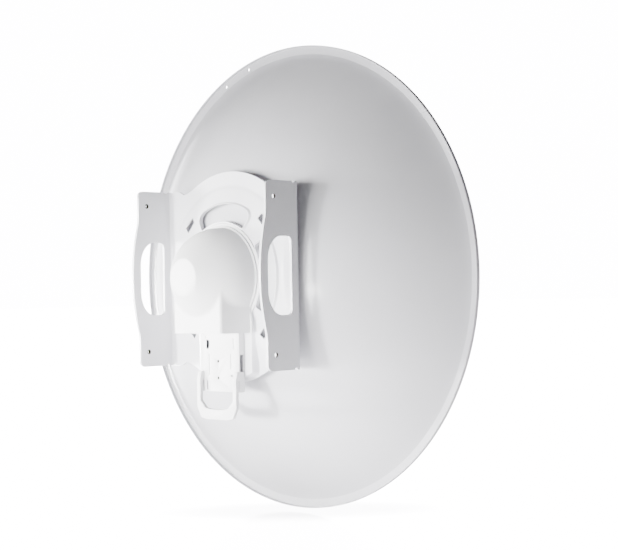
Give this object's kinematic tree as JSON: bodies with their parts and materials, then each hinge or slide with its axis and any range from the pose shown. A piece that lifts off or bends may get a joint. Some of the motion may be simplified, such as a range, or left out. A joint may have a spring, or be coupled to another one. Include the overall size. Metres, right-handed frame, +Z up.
{
  "type": "parabolic dish antenna",
  "caption": "Round parabolic dish antenna with a pressed rear bracket, a domed rear cover, a slide-in radio mount with a release latch and a feed on its axis.",
  "frame": {"origin": "on the outer face of the -X side flange of the bracket, at mid height, on the strip behind the hand slot, 5 mm behind the slot", "axes": "-Y along the dish's axis, the way the dish looks; +Y out of its back; +Z up; -X out of the flange that holds the origin"},
  "size_m": [0.648, 0.253, 0.648],
  "materials": {
    "dish_paint": "satin white powder coat on spun sheet",
    "bracket_paint": "satin white powder coat on pressed steel",
    "white_plastic": "moulded, lightly matt",
    "zinc": "zinc plated",
    "bare_aluminium": "turned, satin",
    "plated_brass": "plated, smooth"
  },
  "bodies": {
    "root": {"reflector": "dish_paint", "back_bracket": "bracket_paint", "cover_base": "white_plastic", "rear_cover": "white_plastic", "radio_mount": "white_plastic", "release_latch": "white_plastic", "feed_collar": "white_plastic", "feed_tube": "white_plastic", "feed_flare": "white_plastic", "sub_reflector": "bare_aluminium", "feed_cap": "white_plastic", "feed_block": "bare_aluminium", "rf_connector_left": "plated_brass", "rf_connector_right": "plated_brass", "hub_bolt_1": "zinc", "hub_nut_1": "zinc", "hub_bolt_2": "zinc", "hub_nut_2": "zinc", "hub_bolt_3": "zinc", "hub_nut_3": "zinc", "hub_bolt_4": "zinc", "hub_nut_4": "zinc"}
  },
  "joints": []
}
